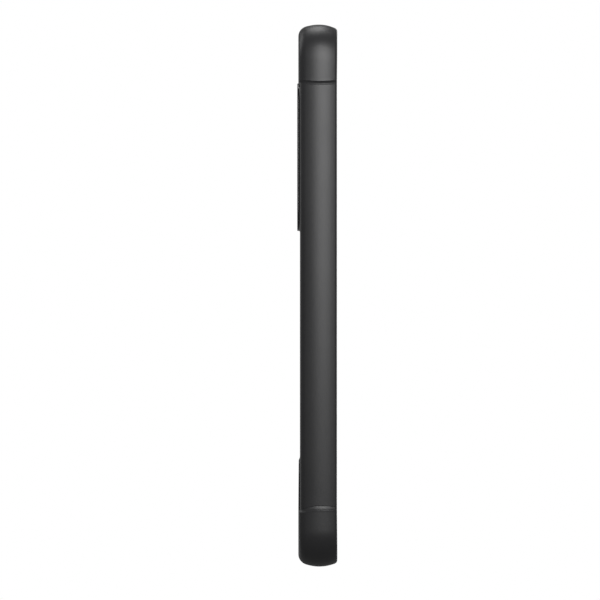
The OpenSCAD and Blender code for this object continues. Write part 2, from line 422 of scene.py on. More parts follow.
@dataclass(frozen=True)
class Finish:
    """One finish of the case."""

    name: str
    slot: str
    colour: tuple[float, float, float]
    roughness: float
    grain: Grain
    grain_size: float
    grain_depth: float
    mottle: float = 0.06
    # Gain of the painted edge highlight: how much lighter the colour is painted on bulging edges.
    painted_edge_highlight: float = 1.5
    edge_polish: float = 0.08
    specular: float = 0.5
    coat: float = 0.0
    coat_roughness: float = 0.12
    sheen: float = 0.0
    cloud_size: float = 14.0
    speck_size: float = 0.9

    def material(self) -> bpy.types.Material:
        """Builds the material once, and hands it back after that.

        A cloud of slow changes and a finer speck shift the tone and the roughness together. Bulging
        edges are smoother, and their colour is painted lighter as a painted highlight.

        Returns:
            The material.
        """
        title = f"{self.name}_finish"
        known = bpy.data.materials.get(title)
        if known is not None:
            return known
        made = bpy.data.materials.new(title)
        made.use_nodes = True
        tree = made.node_tree
        shader = tree.nodes["Principled BSDF"]
        place = add(tree, "ShaderNodeTexCoord", output="Object")
        edge = add(tree, "ShaderNodeAttribute", {"attribute_name": "edge"}, output="Fac")
        cloud = add(tree, "ShaderNodeTexNoise", {},
                    {"Vector": place, "Scale": 1 / (self.cloud_size * MM), "Detail": 3.0})
        speck = add(tree, "ShaderNodeTexNoise", {},
                    {"Vector": place, "Scale": 1 / (self.speck_size * MM), "Detail": 2.0})
        middle, speck_share = 0.5, 0.5
        shade = (cloud - middle) * self.mottle + (speck - middle) * (self.mottle * speck_share)
        dark_share, edge_highlight_share, plain_tone, shade_gain = 0.8, 0.6, 0.3, 4.0
        dark = tuple(c * dark_share for c in self.colour)
        # The light colour is a painted highlight on bulging edges, mixed in by the edge attribute.
        light = tuple(c * self.painted_edge_highlight for c in self.colour)
        tone = (edge * edge_highlight_share + plain_tone + shade * shade_gain).clamp()
        tree.links.new(mix(tree, tone, dark, light).socket, shader.inputs["Base Color"])
        rough = (shade + self.roughness - edge * self.edge_polish).clamp()
        tree.links.new(rough.socket, shader.inputs["Roughness"])
        tree.links.new(self.relief(tree, place).socket, shader.inputs["Normal"])
        shader.inputs["Specular IOR Level"].default_value = self.specular
        shader.inputs["Coat Weight"].default_value = self.coat
        shader.inputs["Coat Roughness"].default_value = self.coat_roughness
        shader.inputs["Sheen Weight"].default_value = self.sheen
        return made

    def relief(self, tree: bpy.types.NodeTree, place: Node) -> Node:
        """Small relief of the surface, as a normal.

        Args:
            tree: The material's tree.
            place: Object coordinates.

        Returns:
            The bumped normal.
        """
        fine = {"Vector": place, "Scale": 1 / (self.grain_size * MM), "Detail": 2.0, "Roughness": 0.6}
        if self.grain is Grain.CLOTH:
            drawn_out, tuft_size = (1.0, 1.0, 0.28), 5 * self.grain_size
            nap = add(tree, "ShaderNodeMapping", {}, {"Vector": place, "Scale": drawn_out})
            fibre = add(tree, "ShaderNodeTexNoise", {}, {**fine, "Vector": nap})
            tuft = add(tree, "ShaderNodeTexNoise", {}, {**fine, "Scale": 1 / (tuft_size * MM)})
            height = fibre * 0.6 + tuft * 0.4
        elif self.grain is Grain.MOULDED:
            pits = add(tree, "ShaderNodeTexVoronoi", {"feature": "SMOOTH_F1"},
                       {"Vector": place, "Scale": 1 / (self.grain_size * MM), "Smoothness": 0.7})
            height = pits * 0.5 + add(tree, "ShaderNodeTexNoise", {}, fine) * 0.5
        else:
            height = add(tree, "ShaderNodeTexNoise", {}, fine)
        return add(tree, "ShaderNodeBump", {},
                   {"Height": height, "Distance": self.grain_depth * MM, "Strength": 1.0}, "Normal")


BUMPER = Finish("soft_bumper", "soft_bumper", (0.016, 0.016, 0.017), 0.4, Grain.SOFT, 0.32, 0.012,
                mottle=0.08)
SLEEVE = Finish("soft_sleeve", "soft_sleeve", (0.014, 0.014, 0.015), 0.5, Grain.SOFT, 0.4, 0.016)
SHELL = Finish("hard_shell", "hard_shell", (0.017, 0.017, 0.018), 0.4, Grain.MOULDED, 0.28, 0.016,
               mottle=0.08)
RING = Finish("polished_ring", "ring", (0.014, 0.014, 0.015), 0.26, Grain.POLISHED, 0.5, 0.001, coat=0.3)
GRIP = Finish("grip_inlay", "grip_inlay", (0.016, 0.016, 0.017), 0.5, Grain.MOULDED, 0.22, 0.014)
HEEL = Finish("heel_pad", "heel_pad", (0.014, 0.014, 0.015), 0.5, Grain.SOFT, 0.3, 0.016)
CLOTH = Finish("microfibre", "lining", (0.05, 0.051, 0.055), 0.9, Grain.CLOTH, 0.12, 0.05, sheen=0.5)
CAP = Finish("key_cap", "key_cap", (0.018, 0.018, 0.019), 0.38, Grain.MOULDED, 0.25, 0.012)
FILM = Finish("adhesive_film", "tape", (0.42, 0.42, 0.4), 0.35, Grain.POLISHED, 0.8, 0.01)


def dress(piece: bpy.types.Object, finish: Finish, body: str, nodes: Sequence[str],
          crease: float = 32.0) -> bpy.types.Object:
    """Finishes a piece: shading, material, body and the nodes that it stands for.

    Args:
        piece: The finished shape.
        finish: Its finish.
        body: The body that it rides on.
        nodes: The nodes that it replaces.
        crease: Faces that meet at more than this angle, in degrees, keep a sharp edge.

    Returns:
        The piece.
    """
    piece.data.materials.clear()
    piece.data.materials.append(finish.material())
    piece.data.shade_smooth()
    piece.data.set_sharp_from_angle(angle=math.radians(crease))
    edge_field(piece.data)
    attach(piece, body)
    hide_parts(*nodes)
    log.info("%s: %d faces, on %s", piece.name, len(piece.data.polygons), body)
    return piece


# ---------------------------------------------------------------- sizes shared by the layers


def span(node: str) -> tuple[Array, Array]:
    """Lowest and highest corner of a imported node, in millimetres."""
    low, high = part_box(node)
    return np.array(low) / MM, np.array(high) / MM


@dataclass(frozen=True)
class Section:
    """Half section of a layer, from the corner centre outwards.

    A long crown of radius reach + crown_in, centred crown_in inside the corner centre, is joined to
    the flat front and to the flat back by a fillet each.
    """

    reach: float
    front: float
    back: float
    front_r: float
    back_r: float
    mid: float
    crown_in: float = 4.0
    rim: float = 0.15

    def crown(self, y: Array | float) -> Array:
        """Distance of the crown from the corner centre, at a depth y."""
        return np.sqrt((self.reach + self.crown_in) ** 2 - (y - self.mid) ** 2) - self.crown_in

    def line(self, start: float, inner: bool = False) -> Array:
        """Points of the section from its front to the corner centre at its back.

        Each fillet is an arc tangent to the crown, whose centre lies on a circle that is the
        fillet's radius inside it.

        Args:
            start: For an outer layer, where its flat front starts. For an inner one, the depth y
                at which its crown starts.
            inner: True for the inner side of a layer, which has no front fillet.

        Returns:
            Array of points x 2: distance from the corner centre, and depth y.
        """
        big = self.reach + self.crown_in
        b = math.asin((self.back - self.back_r - self.mid) / (big - self.back_r))
        bx = (big - self.back_r) * math.cos(b) - self.crown_in
        if inner:
            a = math.asin((start - self.mid) / big)
            head = np.empty((0, 2))
            crown_steps = 45
        else:
            a = math.asin((self.front + self.front_r - self.mid) / (big - self.front_r))
            ax = (big - self.front_r) * math.cos(a) - self.crown_in
            first = arc(start + self.rim, self.front + self.rim, self.rim, math.pi, 1.5 * math.pi, 4)
            second = arc(ax, self.front + self.front_r, self.front_r, -math.pi / 2, a, 8)
            head = np.concatenate([first, second])
            crown_steps = 32
        body = arc(-self.crown_in, self.mid, big, a, b, crown_steps)[0 if inner else 1:]
        blend = arc(bx, self.back - self.back_r, self.back_r, b, math.pi / 2, 12)[1:]
        flat = np.linspace(bx, 0, 7)[1:]
        tail = np.stack([flat, np.full(len(flat), self.back)], 1)
        return np.concatenate([head, body, blend, tail])


def normals(line: Array) -> Array:
    """Unit normals of a section line, to the right of its direction, which is outwards."""
    way = np.gradient(line, axis=0)
    way /= np.linalg.norm(way, axis=1)[:, None] + 1e-12
    return np.stack([way[:, 1], -way[:, 0]], 1)


class CaseLayout:
    """Sizes that the layers share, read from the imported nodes."""

    corner_r = 11.5
    wall = 1.1
    lip_h = 1.1
    seam = 0.02
    bumper_fillets = (1.1, 3.2)
    shell_fillets = (0.9, 2.4)
    sleeve_fillets = (0.3, 1.6)
    pocket_fillets = (0.4, 1.6)

    def __init__(self) -> None:
        """Reads the boxes of the nodes."""
        self.bumper_low, self.bumper_high = span("top_bumper")
        self.shell_low, self.shell_high = span("outer_shell")
        self.sleeve_low, self.sleeve_high = span("inner_sleeve")
        lining_low, lining_high = span("microfibre_lining")
        self.ring_low, self.ring_high = span("camera_ring")
        self.length = self.bumper_high[2]
        self.corner_x = self.bumper_high[0] - self.corner_r
        self.floor = lining_high[1]
        self.seat = lining_low[1]
        self.lip_under = self.shell_low[1] + self.lip_h
        self.mid = (self.lip_under + self.seat) / 2

    def bumper(self) -> Section:
        """Outer section of the bumpers."""
        return Section(self.corner_r, self.bumper_low[1], self.bumper_high[1], *self.bumper_fillets, self.mid)

    def shell(self) -> Section:
        """Outer section of the hard shell."""
        reach = self.shell_high[0] - self.corner_x
        return Section(reach, self.shell_low[1], self.shell_high[1], *self.shell_fillets, self.mid)

    def sleeve(self, gap: float = 0.0) -> Section:
        """Outer section of the sleeve, or of the room for it with a gap."""
        reach = self.sleeve_high[0] - self.corner_x + gap
        front_r, back_r = self.sleeve_fillets
        return Section(reach, self.sleeve_low[1], self.sleeve_high[1] + gap, front_r, back_r + gap, self.mid)

    def pocket(self) -> Section:
        """Section of the phone's pocket."""
        reach = self.sleeve_high[0] - self.corner_x - self.wall
        return Section(reach, self.lip_under, self.floor, *self.pocket_fillets, self.mid)


@dataclass(frozen=True)
class Parting:
    """Bowed line where a bumper meets the shell: an arc towards the back and one towards the front."""

    height: float
    back_r: float
    front_r: float
    mid: float

    def at(self, y: Array) -> Array:
        """Distance of the line from the case's end, at a depth y."""
        off = y - self.mid
        r = np.where(off > 0, self.back_r, self.front_r)
        return self.height - off**2 / (2 * r)


# ---------------------------------------------------------------- bumpers and shell


@dataclass
class EndBumper:
    """Soft cap over one end of the case.

    Its section is carried down one side, round a corner, along the end, round the other corner and
    up the other side. Close to the shell, the section shrinks to the shell's along a slope.
    """

    layout: CaseLayout
    name: str
    node: str
    parting: Parting
    top: bool
    level_half: float
    tuck: tuple[float, float]
    steepen: float
    level_fade: float = 0.5
    slope: float = 1.15
    back_slope_share: float = 0.28
    back_facing: tuple[float, float] = (0.55, 0.95)
    crest_soft: float = 0.025
    groove: float = 0.03
    groove_width: float = 0.1
    hollow: float = 0.03
    hollow_reach: tuple[float, float, float] = (0.03, 0.4, 6.0)
    lip_ease: float = 0.15
    lip_ease_from: float = 3.0
    skirt: float = 0.15
    corner_steps: int = 32
    end_steps: int = 24

    def rise(self) -> Array:
        """Share of the way up the side at each row.

        Measured down from the edge, the rows are close together in the groove, on the slope and
        most of all round its crest.
        """
        side = self.parting.height - self.layout.corner_r
        groove = [0, 0.03, 0.06, 0.1]
        slope = [0.22, 0.34, 0.46, 0.58, 0.7, 0.8, 0.9]
        crest = [0.98, 1.04, 1.09, 1.14, 1.19, 1.26, 1.36, 1.55, 1.9]
        return 1 - np.concatenate([groove, slope, crest, np.linspace(2.4, side, 10)]) / side

    def across(self) -> Array:
        """X of the columns along the end, right to left, with extra ones where the flush stretch ends."""
        half = self.layout.corner_x
        ends = [side * (self.level_half + off) for side in (-1, 1) for off in (0.0, self.level_fade)
                if self.level_half + off < half]
        return np.sort(np.concatenate([np.linspace(-half, half, self.end_steps + 1), ends]))[::-1]

    def path(self) -> dict[str, Array]:
        """The way round the end.

        Returns:
            Corner-centre x, outward direction (nx, nz) and share t of the way up the side.
        """
        t = self.rise()
        turn = np.linspace(0, math.pi / 2, self.corner_steps + 1)[1:]
        run = self.across()[1:]
        one, zero, held = np.ones_like(t), np.zeros_like(t), np.ones_like(turn)
        half = self.layout.corner_x
        return {
            "x": np.concatenate([one * half, held * half, run, -held * half, -one[1:] * half]),
            "nx": np.concatenate([one, np.cos(turn), 0 * run, -np.sin(turn), -one[1:]]),
            "nz": np.concatenate([zero, -np.sin(turn), 0 * run - 1, -np.cos(turn), zero[1:]]),
            "t": np.concatenate([t, 0 * held, 0 * run, 0 * held, t[::-1][1:]]),
        }

    def shaped(self, x: Array, t: Array, s: Array, y: Array, s_low: Array, y_low: Array,
               lean: Array) -> tuple[Array, Array]:
        """Section close to the shell.

        The share of the shell's section is 1 less a power of the distance from the edge, held at 0
        past the crest with a soft corner. A narrow groove is added at the very edge. The slope is
        left out on the back, where a flush neighbour meets the bumper.

        Args:
            x: Distance from the middle of the case, for the flush stretch.
            t: Share of the way up the side.
            s: Distance from the corner centre.
            y: Depth.
            s_low: Distance on the shell's section.
            y_low: Depth on the shell's section.
            lean: 1 on the flat back and 0 on the side.

        Returns:
            The shaped distance and depth.
        """
        down = (1 - t) * (self.parting.at(y) - self.layout.corner_r)
        height = self.slope * (1 - (1 - self.back_slope_share) * lean)
        level = down / height
        held = level - self.crest_soft * np.logaddexp(0, (level - 1) / self.crest_soft)
        share = np.clip(1 - np.clip(held, 0, 1) ** self.steepen, 0, 1)
        flush = (1 - ramp(np.abs(x), self.level_half, self.level_half + self.level_fade)) * lean
        share = share * (1 - flush)
        cut = self.groove * (1 - ramp(down, 0, self.groove_width))
        past = down - self.slope
        start, deepest, end = self.hollow_reach
        hollow = self.hollow * ease(past, start, deepest) * (1 - ease(past, deepest, end))
        s = s + (s_low - s) * share - (cut + hollow) * (1 - lean)
        y = y + ((y_low - y) * share - cut * lean) * (y > self.layout.mid)
        return s, y

    def tucked(self, y: Array) -> Array:
        """How much closer to the middle of the case the end's skin lies at a depth y: a parabola."""
        off = y - self.layout.mid
        back, front = self.tuck
        return np.where(off > 0, back, front) * off**2

    def eased(self, y: Array, z: Array) -> Array:
        """Depth with the lip drawn back towards the shell, in step with the height z above the end."""
        share = ramp(z, self.lip_ease_from, self.parting.height)
        return y + self.lip_ease * share * ramp(y, self.layout.mid, self.layout.bumper_low[1])

    def placed(self, x: Array, y: Array, z: Array) -> Array:
        """Points of the bumper, turned over for the top one."""
        y = self.eased(y, z)
        z = self.layout.length - z if self.top else z
        return np.stack(np.broadcast_arrays(x, y, z), -1)

    def build(self, cutters: Sequence[bpy.types.Object]) -> bpy.types.Object:
        """Makes the bumper as an outer and an inner layer, closed round its edges.

        Args:
            cutters: Cutters of its openings and of the room for its neighbour.

        Returns:
            The bumper.
        """
        lay, way = self.layout, self.path()
        cx, nx, nz, t = (way[k][:, None] for k in ("x", "nx", "nz", "t"))
        room = lay.sleeve(lay.seam)
        front = lay.bumper_low[1] + self.skirt
        outer = lay.bumper().line(float(room.crown(front)))
        low = lay.shell().line(float(room.crown(front)))
        inner = room.line(front, inner=True)
        inner = resample(inner, len(outer))
        lean = ramp(normals(outer)[:, 1], *self.back_facing)[None, :]
        s, y = self.shaped(cx + outer[None, :, 0] * nx, t, outer[None, :, 0], outer[None, :, 1],
                           low[None, :, 0], low[None, :, 1], lean)
        z = lay.corner_r + t * (self.parting.at(y) - lay.corner_r)
        drawn = self.tucked(y) * nz * np.abs(nz) * (s / lay.corner_r) ** 2
        skin = self.placed(cx + s * nx, y, z + s * nz - drawn)
        si, yi = inner[None, :, 0], inner[None, :, 1]
        zi = lay.corner_r + t * (self.parting.at(yi) - lay.corner_r)
        lining = self.placed(cx + si * nx, yi + 0 * t, zi + si * nz)
        solid = Solid().grid(skin).grid(lining)
        solid.grid(np.stack([skin[:, 0], lining[:, 0]]))
        for end in (0, -1):
            solid.grid(np.stack([skin[end], lining[end]]))
        run = self.across()[:, None]
        up = self.rise()[None, :]
        last = outer[-1]
        _, ym = self.shaped(run, up, np.zeros_like(run), np.full_like(run, last[1]), np.zeros_like(run),
                            np.full_like(run, low[-1, 1]), np.ones_like(run))
        zm = lay.corner_r + up * (self.parting.at(ym) - lay.corner_r)
        plate = self.placed(run + 0 * up, ym, zm)
        floor_y = inner[-1, 1]
        zf = lay.corner_r + up * (self.parting.at(np.array(floor_y)) - lay.corner_r)
        under = self.placed(run + 0 * up, floor_y + 0 * up + 0 * run, zf + 0 * run)
        solid.grid(plate).grid(under).grid(np.stack([plate[:, 0], under[:, 0]]))
        bumper = combine(solid.build(self.name), cutters)
        return dress(bumper, BUMPER, "case", [self.node])


def resample(line: Array, count: int) -> Array:
    """The same line with another number of points, evenly spaced over its point numbers."""
    at = np.linspace(0, len(line) - 1, count)
    old = np.arange(len(line))
    return np.stack([np.interp(at, old, line[:, 0]), np.interp(at, old, line[:, 1])], 1)


def flared(name: str, outline: Outline, surface: Callable[[Array], Array], inward: float, flare: float,
           depth: float, plane: Plane) -> bpy.types.Object:
    """Cutter for an opening whose mouth is rounded along a crowned surface.

    The mouth is a quarter circle in inset and depth, measured from the surface at each point.

    Args:
        name: Name of the cutter.
        outline: The opening's outline.
        surface: Height of the surface at the outline's second coordinate.
        inward: 1 or -1, the direction of the height that goes into the wall.
        flare: Radius of the mouth.
        depth: How deep it cuts.
        plane: Where the outline lies.

    Returns:
        The cutter.
    """
    turn = np.linspace(0, math.pi / 2, 6)
    clear = -1.5
    rows = [[-flare, clear]]
    rows += np.stack([-flare * (1 - np.sin(turn)), flare * (1 - np.cos(turn))], 1).tolist()
    rows += [[0.0, depth]]
    levels = np.array(rows) * np.array([1.0, inward])
    return loft(name, outline, levels, plane, bend=surface)


@dataclass
class HardShell:
    """Hard channel round the middle of the sleeve, with its beds and windows."""

    layout: CaseLayout
    bottom: Parting
    top: Parting
    edge_r: float = 0.14
    skirt: float = 0.15
    name: str = "shell_channel"

    def build(self, windows: Sequence[bpy.types.Object]) -> bpy.types.Object:
        """Carries the channel's section from one bowed edge to the other.

        Height is bottom(y) + t * (top(y) - bottom(y)). Close to each edge the outer layer draws in
        along a quarter circle.

        Args:
            windows: Cutters of its beds and windows.

        Returns:
            The shell.
        """
        lay = self.layout
        room = lay.sleeve(lay.seam)
        front = lay.shell_low[1] + self.skirt
        outer = lay.shell().line(float(room.crown(front)))
        inner = resample(room.line(front, inner=True), len(outer))
        near = np.array([0, 0.02, 0.05, 0.09, self.edge_r, 0.3])
        full = lay.length - self.top.height - self.bottom.height
        t = np.concatenate([near, np.linspace(1, full - 1, 60), full - near[::-1]])[None, :] / full
        layers = []
        for half, eased in ((outer, True), (inner, False)):
            across = np.linspace(lay.corner_x, -lay.corner_x, 21)[1:-1]
            line = np.concatenate([
                half + [lay.corner_x, 0],
                np.stack([across, np.full(len(across), half[-1, 1])], 1),
                half[::-1] * [-1, 1] - [lay.corner_x, 0]])
            out = normals(line)
            x, y = line[:, :1], line[:, 1:]
            low = self.bottom.at(y)
            tall = lay.length - self.top.at(y) - low
            z = low + t * tall
            if eased:
                gone = np.clip(1 - np.minimum(t, 1 - t) * tall / self.edge_r, 0, 1)
                draw = self.edge_r * (1 - np.sqrt(1 - gone**2))
                x = x - draw * out[:, :1]
                y = y - draw * out[:, 1:]
            layers.append(np.stack(np.broadcast_arrays(x, y + 0 * t, z), -1))
        skin, lining = layers
        solid = Solid().grid(skin).grid(lining).skirt(skin, lining)
        shell = combine(solid.build(self.name), windows)
        return dress(shell, SHELL, "case", ["outer_shell"])


# ---------------------------------------------------------------- sleeve and lining


@dataclass
class InnerSleeve:
    """Soft sleeve that holds the phone, with the screen lip."""

    layout: CaseLayout
    lip_reach: float = 1.8
    bead_r: float = 0.38
    front_flat: float = 2.2
    under_from: float = 0.9
    side_rows: int = 41
    end_rows: int = 17
    corner_steps: int = 24
    name: str = "sleeve_body"

    def section(self) -> Array:
        """Line from the middle of the back, round the side, over the lip and to the middle of the floor.

        Returns:
            Array of points x 2: distance from the corner centre, and depth y.
        """
        lay = self.layout
        outer = lay.sleeve().line(lay.sleeve().reach - self.front_flat)[::-1]
        edge = lay.pocket().reach - self.lip_reach
        front, under, r = lay.sleeve_low[1], lay.lip_under, self.bead_r
        bead = np.concatenate([arc(edge + r, front + r, r, -math.pi / 2, -math.pi, 7),
                               arc(edge + r, under - r, r, math.pi, math.pi / 2, 7)])
        rim_points = 5
        inner = lay.pocket().line(edge + self.under_from)[rim_points:]
        return np.concatenate([outer[:-rim_points], bead, inner])

    def build(self, windows: Sequence[bpy.types.Object]) -> bpy.types.Object:
        """Carries the section round the rounded rectangle, and closes the floor and the back.

        Args:
            windows: Cutters of its openings.

        Returns:
            The sleeve.
        """
        lay, line = self.layout, self.section()
        cx, low, high = lay.corner_x, lay.corner_r, lay.length - lay.corner_r
        up = np.linspace(low, high, self.side_rows)
        along = np.linspace(cx, -cx, self.end_rows)
        turn = np.linspace(0, math.pi / 2, self.corner_steps + 1)[1:-1]
        sides = ((cx + 0 * up, up), (along, high + 0 * along), (-cx + 0 * up, up[::-1]),
                 (along[::-1], low + 0 * along))
        px, pz, angle = [], [], []
        for quarter, (side_x, side_z) in enumerate(sides):
            start = quarter * math.pi / 2
            px += [side_x, side_x[-1] + 0 * turn]
            pz += [side_z, side_z[-1] + 0 * turn]
            angle += [start + 0 * side_x, start + turn]
        px, pz, angle = np.concatenate(px), np.concatenate(pz), np.concatenate(angle)
        s, y = line[None, :, 0], line[None, :, 1]
        x = px[:, None] + s * np.cos(angle)[:, None]
        z = pz[:, None] + s * np.sin(angle)[:, None]
        solid = Solid().grid(np.stack(np.broadcast_arrays(x, y, z), -1), wrap=True)
        gx, gz = np.meshgrid(along, up, indexing="ij")
        for depth in (line[0, 1], line[-1, 1]):
            solid.grid(np.stack([gx, np.full_like(gx, depth), gz], -1))
        sleeve = combine(solid.build(self.name), windows)
        return dress(sleeve, SLEEVE, "case", ["inner_sleeve"])


@dataclass
class Lining:
    """Thin cloth on the sleeve's floor."""

    layout: CaseLayout
    window: Sequence[tuple[float, float, float]]
    corner: float = 5.8
    wave: float = 0.012
    rim_drop: float = 0.12
    rim_width: float = 0.7
    grid: float = 0.7
    name: str = "lining_cloth"

    def build(self) -> bpy.types.Object:
        """Lays the cloth: its face has low waves and falls off at its rim.

        Returns:
            The lining.
        """
        low, high = span("microfibre_lining")
        w, h = high[0] - low[0], high[2] - low[2]
        r, cz = self.corner, (low[2] + high[2]) / 2
        face_y = low[1] + 2 * self.wave
        corners = box_corners(w, h, r, 0.0, cz)

        def face(x: Array, z: Array) -> Array:
            """Depth of the cloth's face."""
            ex = np.abs(x) - (w / 2 - r)
            ez = np.abs(z - cz) - (h / 2 - r)
            inside = r - np.hypot(np.maximum(ex, 0), np.maximum(ez, 0)) - np.minimum(np.maximum(ex, ez), 0)
            wave = self.wave * (np.sin(x * 0.31 + 0.4) * np.sin(z * 0.23) + np.sin(x * 0.17 - z * 0.11))
            rim = self.rim_drop * (1 - ramp(inside, 0, self.rim_width)) ** 2
            return face_y + wave + rim

        piece = topped_plate(self.name, lambda i: rounded(corners, i), high[1], face, self.grid)
        hole = prism("window", lambda i: rounded(self.window, i), low[1] - 2, high[1] + 2, Plane.BACK)
        combine(piece, [hole])
        area = (w * h - (4 - math.pi) * r * r) - outline_area(rounded(self.window))
        dress(piece, CLOTH, "case", ["microfibre_lining"])
        area * MM * MM
        return piece


def outline_area(loop: Array) -> float:
    """Area inside a closed outline, by the sum of its cross products."""
    ahead = np.roll(loop, -1, 0)
    return abs(float((loop[:, 0] * ahead[:, 1] - loop[:, 1] * ahead[:, 0]).sum())) / 2


# ---------------------------------------------------------------- parts of the back


@dataclass
class CameraRing:
    """Raised rim round the camera window."""

    layout: CaseLayout
    rise: float = 0.35
    crest: float = 0.2
    corner: float = 6.5
    rim: float = 2.8
    flare: float = 0.42
    line: tuple[float, float, float, float] = (1.15, 1.22, 1.38, 1.45)
    line_depth: float = 0.07
    chamfer: float = 0.62
    chamfer_r: float = 0.12
    mouth_drop: float = 0.66
    sunk: float = 0.01
    gap: float = 0.02
    steps: int = 16
    name: str = "camera_rim"

    def corners(self, extra: float = 0.0) -> list:
        """Corners of its outline, or of a larger one."""
        low, high = self.layout.ring_low, self.layout.ring_high
        w, h = high[0] - low[0] + 2 * extra, high[2] - low[2] + self.rise + 2 * extra
        return box_corners(w, h, self.corner + extra, 0.0, (low[2] + high[2] + self.rise) / 2)

    def opening(self, wider: float, radius: float) -> list:
        """Corners of a hole that is wider all round than the ring's own, with another radius."""
        return [(x, z, radius) for x, z, _ in self.corners(wider - self.rim)]

    def room(self, low: float, high: float) -> bpy.types.Object:
        """Cutter of the room for the ring, from one depth to another."""
        return prism("ring_room", lambda i: rounded(self.corners(self.gap), i, self.steps), low, high,
                     Plane.BACK)

    def build(self) -> bpy.types.Object:
        """Carries the rim's profile round its outline.

        The profile climbs a hollow fillet from the shell's back, rounds over to the flat rim, dips
        in a fine line, and falls along a chamfer to the window.

        Returns:
            The ring.
        """
        low, high = self.layout.ring_low[1], self.layout.ring_high[1]
        skin = self.layout.shell_high[1]
        flare = arc(-self.flare, skin + self.flare, self.flare, -math.pi / 2, 0, 5)
        crest = arc(self.crest, high - self.crest, self.crest, math.pi, math.pi / 2, 6)
        dips = high - self.line_depth * np.array([0, 1, 1, 0])
        line = np.stack([np.array(self.line), dips], 1)
        chamfer = arc(self.rim - self.chamfer, high - self.chamfer_r, self.chamfer_r, math.pi / 2,
                      math.pi / 4, 3)
        mouth, bed = high - self.mouth_drop, skin - self.sunk
        foot = [[self.rim, mouth], [self.rim, low], [0.0, low], [0.0, bed], [-self.flare, bed]]
        profile = np.concatenate([flare, crest, line, chamfer, foot])
        loops = []
        for inset, y in profile:
            flat = rounded(self.corners(), float(inset), self.steps)
            loops.append(Plane.BACK.place(flat[:, 0], flat[:, 1], y))
        loops.append(loops[0])
        piece = Solid().grid(np.stack(loops, 1), wrap=True).build(self.name)
        return dress(piece, RING, "case", ["camera_ring"])


@dataclass
class GripInlay:
    """Panel in the shell's back, with fine slanting ribs inside a plain border."""

    layout: CaseLayout
    border: float = 1.8
    pitch: float = 1.3
    rib_depth: float = 0.14
    slant: float = 38.0
    ring_room: float = 3.0
    bed: float = 0.45
    corner: float = 4.0
    inner_corner: float = 9.5
    tip_corner: float = 1.0
    eased: float = 0.12
    gap: float = 0.02
    name: str = "grip_panel"

    def corners(self) -> list:
        """Corners of the panel: a rounded rectangle, open at the top round the camera ring."""
        low, high = span("back_inlay")
        ring_low, ring_high = self.layout.ring_low, self.layout.ring_high
        w, ring_w, floor = high[0], ring_high[0] + self.ring_room, ring_low[2] - self.ring_room
        right = [(w, low[2], self.corner), (w, high[2], self.corner), (ring_w, high[2], self.tip_corner),
                 (ring_w, floor, self.inner_corner)]
        return right + [(-x, z, r) for x, z, r in right[::-1]]

    def room(self, low: float, high: float) -> bpy.types.Object:
        """Cutter of the panel's bed, from one depth to another."""
        return prism("inlay_room", lambda i: rounded(self.corners(), i), low, high, Plane.BACK)

    def ribs(self, top: float) -> bpy.types.Object:
        """Everything above the ribs' surface, as a cutter.

        The surface is a cubed cosine along one slanting axis, drawn out straight along the other.

        Args:
            top: Depth of the panel's face.

        Returns:
            The cutter.
        """
        reach = 120.0
        steps_per_rib = 10
        across = np.arange(-reach, reach, self.pitch / steps_per_rib)
        phase = (across / self.pitch) % 1.0
        depth = self.rib_depth * np.abs(np.cos(math.pi * phase)) ** 3
        centre = np.array([0.0, self.layout.length / 2])
        slant = math.radians(self.slant)
        u, v = np.array([math.cos(slant), math.sin(slant)]), np.array([-math.sin(slant), math.cos(slant)])
        rows = []
        for along in (-reach, reach):
            flat = centre + across[:, None] * u + along * v
            rows.append(np.stack([flat[:, 0], top - depth, flat[:, 1]], 1))
        face = np.stack(rows)
        lid = face.copy()
        lid[..., 1] = top + 1.0
        return Solid().grid(face).grid(lid).skirt(face, lid).build("ribs")

    def build(self) -> bpy.types.Object:
        """Makes the panel with an eased rim, and cuts the ribs into it inside its border.

        Returns:
            The panel.
        """
        low, high = span("back_inlay")
        corners, top = self.corners(), high[1]
        turn = np.linspace(0, math.pi / 2, 5)
        drawn_in = self.gap + self.eased * (1 - np.cos(turn))
        edge = np.stack([drawn_in, top - self.eased * (1 - np.sin(turn))], 1)
        levels = np.concatenate([[[self.gap, low[1]]], edge])
        panel = loft(self.name, lambda i: rounded(corners, i), levels, Plane.BACK)
        below, above = 0.3, 0.5
        field = prism("field", lambda i: rounded(corners, self.border), top - below, top + above, Plane.BACK)
        cutter = combine(self.ribs(top), [field], "INTERSECT")
        combine(panel, [cutter])
        return dress(panel, GRIP, "case", ["back_inlay"], 24.0)


